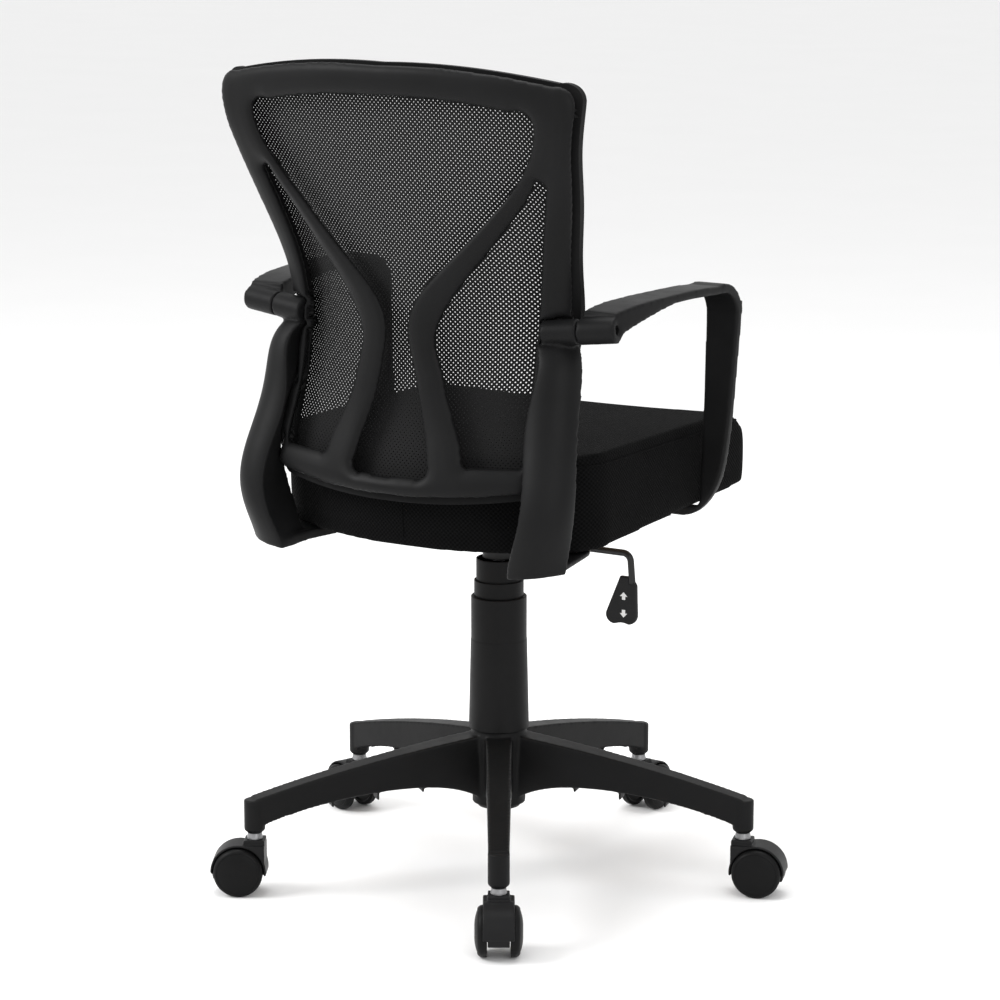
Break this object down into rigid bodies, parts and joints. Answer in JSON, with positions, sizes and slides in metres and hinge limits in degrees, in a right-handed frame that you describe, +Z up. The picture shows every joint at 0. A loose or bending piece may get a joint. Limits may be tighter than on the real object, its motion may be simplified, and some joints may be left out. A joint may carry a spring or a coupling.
{
  "type": "swivel office chair",
  "caption": "Swivel office chair with a star base on casters, gas lift, tilting padded seat, loop arms and a mesh back on a ribbed frame.",
  "frame": {"origin": "on the floor, on the vertical axis of the gas lift", "axes": "+Z up; the sitter faces -Y; the sitter's right-hand side, with the lever, is -X"},
  "size_m": [0.6733, 0.6562, 0.9742],
  "materials": {
    "moulded_black": "fine-grained matte black moulding",
    "back_edge_plastic": "matte black rim that the mesh is stretched on",
    "back_mesh": "open black knitted mesh",
    "seat_fabric": "black sandwich mesh over foam",
    "plywood": "bare plywood",
    "lift_steel": "black paint",
    "housing_steel": "black paint",
    "polished_steel": "polished",
    "pin_steel": "zinc plated",
    "lever_steel": "black enamel",
    "lever_plastic": "matte black",
    "bush_plastic": "natural acetal",
    "valve_brass": "plain",
    "seal_rubber": "plain",
    "caster_steel": "zinc plated",
    "caster_plastic": "matte black nylon",
    "wheel_plastic": "matte black nylon"
  },
  "bodies": {
    "base": {"star_base": "moulded_black", "column_tube": "lift_steel", "guide_bush": "bush_plastic", "piston_rod": "polished_steel", "thrust_bearing": "pin_steel", "rod_clip": "pin_steel", "lower_sleeve": "moulded_black"},
    "caster_1": {"caster_stem_1": "caster_steel", "caster_hood_1": "caster_plastic", "caster_axle_1": "caster_steel"},
    "wheel_left_1": {"caster_wheel_left_1": "wheel_plastic"},
    "wheel_right_1": {"caster_wheel_right_1": "wheel_plastic"},
    "caster_2": {"caster_stem_2": "caster_steel", "caster_hood_2": "caster_plastic", "caster_axle_2": "caster_steel"},
    "wheel_left_2": {"caster_wheel_left_2": "wheel_plastic"},
    "wheel_right_2": {"caster_wheel_right_2": "wheel_plastic"},
    "caster_3": {"caster_stem_3": "caster_steel", "caster_hood_3": "caster_plastic", "caster_axle_3": "caster_steel"},
    "wheel_left_3": {"caster_wheel_left_3": "wheel_plastic"},
    "wheel_right_3": {"caster_wheel_right_3": "wheel_plastic"},
    "caster_4": {"caster_stem_4": "caster_steel", "caster_hood_4": "caster_plastic", "caster_axle_4": "caster_steel"},
    "wheel_left_4": {"caster_wheel_left_4": "wheel_plastic"},
    "wheel_right_4": {"caster_wheel_right_4": "wheel_plastic"},
    "caster_5": {"caster_stem_5": "caster_steel", "caster_hood_5": "caster_plastic", "caster_axle_5": "caster_steel"},
    "wheel_left_5": {"caster_wheel_left_5": "wheel_plastic"},
    "wheel_right_5": {"caster_wheel_right_5": "wheel_plastic"},
    "middle_sleeve": {"middle_sleeve": "moulded_black"},
    "lift": {"upper_sleeve": "moulded_black"},
    "mechanism": {"pressure_tube": "polished_steel", "rod_seal": "seal_rubber", "mech_housing": "housing_steel", "pivot_pin": "pin_steel", "tilt_spring": "pin_steel"},
    "valve": {"valve_button": "valve_brass"},
    "lever_pivot": {"lever_bush": "lever_plastic"},
    "lever": {"lever_rod": "lever_steel", "lever_paddle": "lever_plastic"},
    "knob": {"tension_knob": "lever_plastic"},
    "seat": {"tilt_plate": "lift_steel", "seat_board": "plywood", "seat_cushion": "seat_fabric", "bracket_left": "moulded_black", "bracket_right": "moulded_black", "arm_left": "moulded_black", "arm_right": "moulded_black", "back_frame": "moulded_black", "mesh_frame": "back_edge_plastic", "back_mesh": "back_mesh", "arm_bolts": "pin_steel", "seat_screws": "pin_steel"}
  },
  "joints": [
    {"name": "caster_swivel_1", "type": "hinge", "parent": "base", "child": "caster_1", "pos_m": [-0.15641, 0.25424, 0.09], "axis": [0, 0, 1], "continuous": true},
    {"name": "wheel_left_spin_1", "type": "hinge", "parent": "caster_1", "child": "wheel_left_1", "pos_m": [-0.1661, 0.27, 0.02875], "axis": [-0.8517, -0.524, 0], "continuous": true},
    {"name": "wheel_right_spin_1", "type": "hinge", "parent": "caster_1", "child": "wheel_right_1", "pos_m": [-0.1661, 0.27, 0.02875], "axis": [-0.8517, -0.524, 0], "continuous": true},
    {"name": "caster_swivel_2", "type": "hinge", "parent": "base", "child": "caster_2", "pos_m": [-0.29013, -0.07019, 0.09], "axis": [0, 0, 1], "continuous": true},
    {"name": "wheel_left_spin_2", "type": "hinge", "parent": "caster_2", "child": "wheel_left_2", "pos_m": [-0.30766, -0.07609, 0.02875], "axis": [0.319, -0.9478, 0], "continuous": true},
    {"name": "wheel_right_spin_2", "type": "hinge", "parent": "caster_2", "child": "wheel_right_2", "pos_m": [-0.30766, -0.07609, 0.02875], "axis": [0.319, -0.9478, 0], "continuous": true},
    {"name": "caster_swivel_3", "type": "hinge", "parent": "base", "child": "caster_3", "pos_m": [-0.0229, -0.29762, 0.09], "axis": [0, 0, 1], "continuous": true},
    {"name": "wheel_left_spin_3", "type": "hinge", "parent": "caster_3", "child": "wheel_left_3", "pos_m": [-0.02432, -0.31607, 0.02875], "axis": [0.9971, -0.0767, 0], "continuous": true},
    {"name": "wheel_right_spin_3", "type": "hinge", "parent": "caster_3", "child": "wheel_right_3", "pos_m": [-0.02432, -0.31607, 0.02875], "axis": [0.9971, -0.0767, 0], "continuous": true},
    {"name": "caster_swivel_4", "type": "hinge", "parent": "base", "child": "caster_4", "pos_m": [0.27598, -0.11375, 0.09], "axis": [0, 0, 1], "continuous": true},
    {"name": "wheel_left_spin_4", "type": "hinge", "parent": "caster_4", "child": "wheel_left_4", "pos_m": [0.29308, -0.1208, 0.02875], "axis": [0.3811, 0.9245, 0], "continuous": true},
    {"name": "wheel_right_spin_4", "type": "hinge", "parent": "caster_4", "child": "wheel_right_4", "pos_m": [0.29308, -0.1208, 0.02875], "axis": [0.3811, 0.9245, 0], "continuous": true},
    {"name": "caster_swivel_5", "type": "hinge", "parent": "base", "child": "caster_5", "pos_m": [0.19346, 0.22732, 0.09], "axis": [0, 0, 1], "continuous": true},
    {"name": "wheel_left_spin_5", "type": "hinge", "parent": "caster_5", "child": "wheel_left_5", "pos_m": [0.20955, 0.23646, 0.02875], "axis": [-0.4939, 0.8695, 0], "continuous": true},
    {"name": "wheel_right_spin_5", "type": "hinge", "parent": "caster_5", "child": "wheel_right_5", "pos_m": [0.20955, 0.23646, 0.02875], "axis": [-0.4939, 0.8695, 0], "continuous": true},
    {"name": "lift", "type": "slide", "parent": "base", "child": "lift", "axis": [0, 0, 1], "range_m": [-0.035, 0.065]},
    {"name": "middle_sleeve_slide", "type": "slide", "parent": "base", "child": "middle_sleeve", "axis": [0, 0, 1], "range_m": [-0.018, 0.033]},
    {"name": "seat_swivel", "type": "hinge", "parent": "lift", "child": "mechanism", "pos_m": [0, 0, 0.38], "axis": [0, 0, 1], "continuous": true},
    {"name": "lever_lift", "type": "hinge", "parent": "mechanism", "child": "lever_pivot", "pos_m": [-0.062, -0.015, 0.401], "axis": [0, 1, 0], "range_deg": [0, 5], "stiffness_Nm_per_rad": 20, "springref_deg": -8.59},
    {"name": "lever_pull", "type": "slide", "parent": "lever_pivot", "child": "lever", "axis": [-1, 0, 0], "range_m": [0, 0.012]},
    {"name": "valve_press", "type": "slide", "parent": "mechanism", "child": "valve", "axis": [0, 0, -1], "range_m": [0, 0.006]},
    {"name": "knob_turn", "type": "hinge", "parent": "mechanism", "child": "knob", "pos_m": [0, -0.118, 0.402], "axis": [0, 1, 0], "range_deg": [-360, 360]},
    {"name": "tilt", "type": "hinge", "parent": "mechanism", "child": "seat", "pos_m": [0, -0.042, 0.409], "axis": [-1, 0, 0], "range_deg": [0, 12], "stiffness_Nm_per_rad": 150, "springref_deg": -17.19}
  ],
  "couplings": [
    {"joint": "middle_sleeve_slide", "follows": "lift", "ratio": 0.5},
    {"joint": "valve_press", "follows": "lever_lift", "m_per_rad": 0.065}
  ]
}
